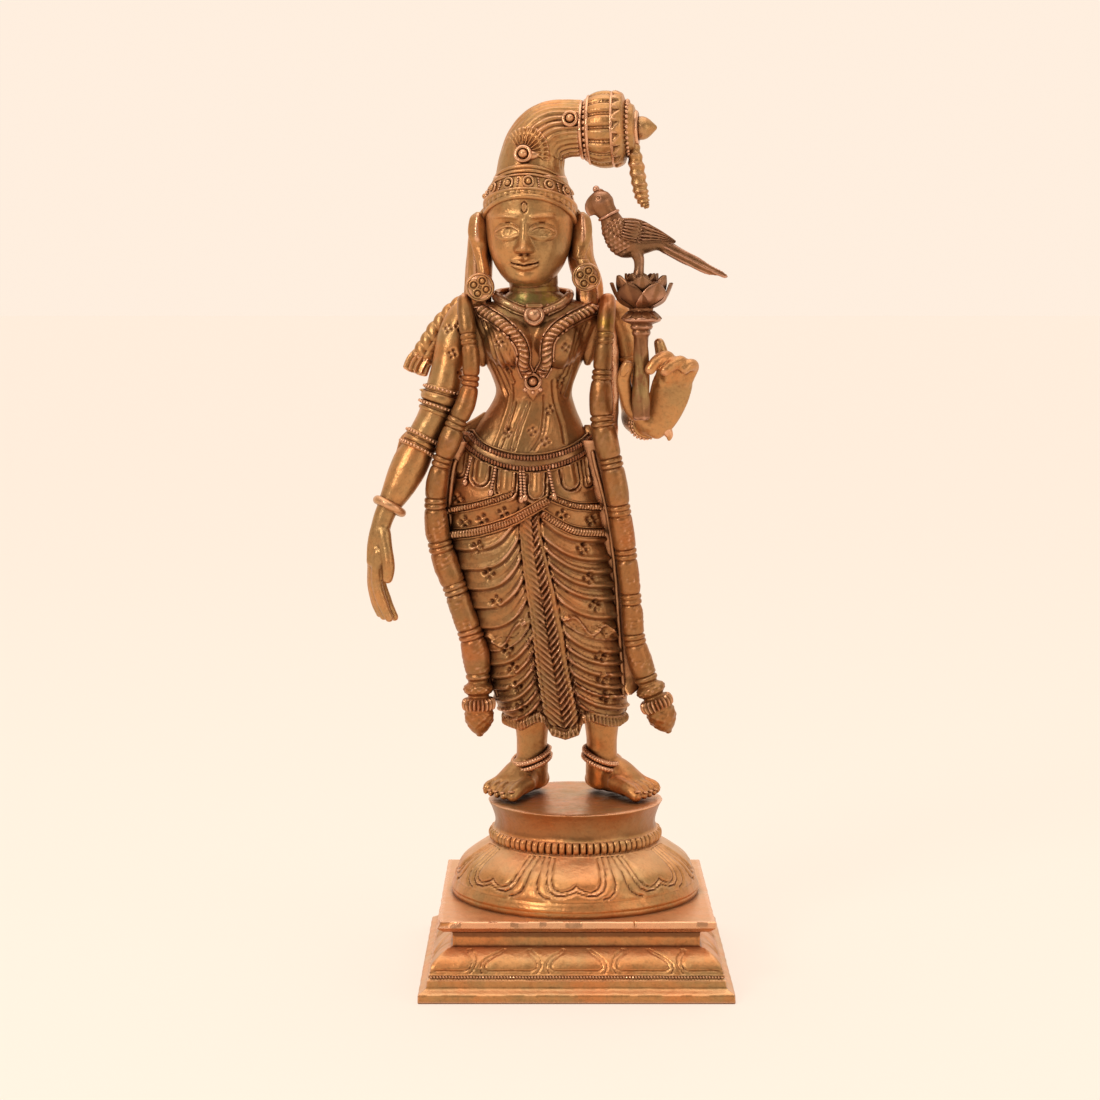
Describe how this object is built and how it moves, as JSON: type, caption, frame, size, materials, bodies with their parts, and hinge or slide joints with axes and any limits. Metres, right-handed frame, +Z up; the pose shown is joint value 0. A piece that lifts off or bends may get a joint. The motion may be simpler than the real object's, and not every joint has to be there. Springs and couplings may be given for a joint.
{
  "type": "parvati figure",
  "caption": "Cast brass goddess standing on a lotus plinth, holding a lotus stem with a parrot, with a side bun and long bead garlands.",
  "frame": {"origin": "centre of the square plinth's flat underside", "axes": "+Z up, -Y towards the front that the figure faces, +X to the viewer's right"},
  "size_m": [0.1361, 0.115, 0.3306],
  "materials": {
    "figure_brass": "satin cast brass, dark in the folds and worn bright on the ridges",
    "plinth_brass": "satin cast brass, smoother and redder than the figure",
    "stem_brass": "darker brown patinated brass"
  },
  "bodies": {
    "root": {"goddess_figure": "figure_brass", "lotus_plinth": "plinth_brass", "parrot_stem": "stem_brass"}
  },
  "joints": []
}
